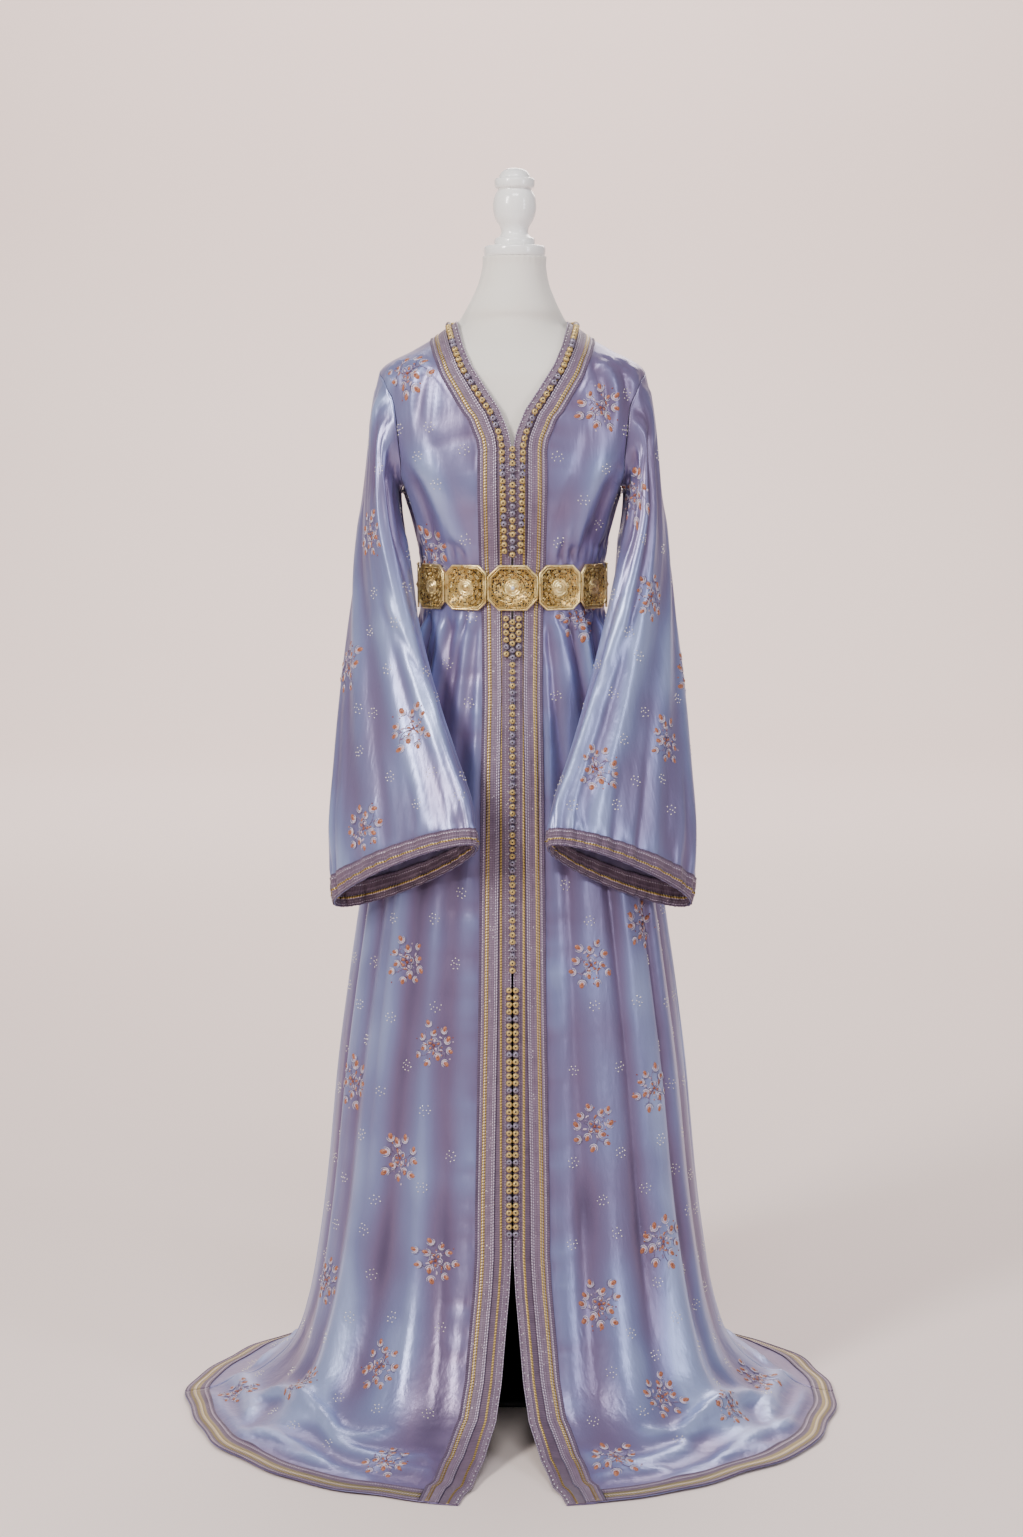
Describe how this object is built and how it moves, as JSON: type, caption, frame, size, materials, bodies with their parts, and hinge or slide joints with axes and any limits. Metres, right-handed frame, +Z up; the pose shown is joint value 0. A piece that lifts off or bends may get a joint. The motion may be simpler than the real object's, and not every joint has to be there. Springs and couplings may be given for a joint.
{
  "type": "moroccan kaftan on a dress form",
  "caption": "Floor-length satin kaftan with bell sleeves, braid bands, knotted buttons and an openwork plate belt, hollow and open at hem and cuffs, on a limbless dress form.",
  "frame": {"origin": "centre of the underside of the stand's base, on the floor", "axes": "+Z up; the front opening faces -Y; +X is to the right seen from the front"},
  "size_m": [0.8904, 0.7881, 1.669],
  "materials": {
    "satin": "shot satin, lavender and blue",
    "band": "woven purple braid with gold stripes",
    "button": "knotted metallic cord",
    "gold": "gilt, pierced",
    "jersey": "off-white jersey",
    "lacquer": "gloss white lacquer",
    "black_steel": "black paint, plain"
  },
  "bodies": {
    "root": {"bodice_front_left": "satin", "bodice_front_right": "satin", "skirt_front_left": "satin", "skirt_front_right": "satin", "bodice_back": "satin", "skirt_back_left": "satin", "skirt_back_right": "satin", "sleeve_front_left": "satin", "sleeve_front_right": "satin", "sleeve_back_left": "satin", "sleeve_back_right": "satin", "front_band_left": "band", "front_band_right": "band", "back_neck_band": "band", "under_front_left": "band", "under_front_right": "band", "under_back_neck": "band", "hem_band_left": "band", "hem_band_right": "band", "hem_band_back": "band", "cuff_band_left": "band", "cuff_band_right": "band", "buttons_neck_left": "button", "buttons_neck_right": "button", "buttons_waist_left": "button", "buttons_waist_right": "button", "buttons_skirt_left": "button", "buttons_skirt_right": "button", "buttons_middle_top": "button", "buttons_middle": "button", "belt_plate_01": "gold", "belt_plate_02": "gold", "belt_plate_03": "gold", "belt_plate_04": "gold", "belt_plate_05": "gold", "belt_plate_06": "gold", "belt_plate_07": "gold", "belt_plate_08": "gold", "belt_plate_09": "gold", "belt_plate_10": "gold", "belt_plate_11": "gold", "belt_plate_12": "gold", "form_torso": "jersey", "neck_cap": "lacquer", "finial": "lacquer", "stand_pole": "black_steel", "stand_base": "black_steel"}
  },
  "joints": []
}
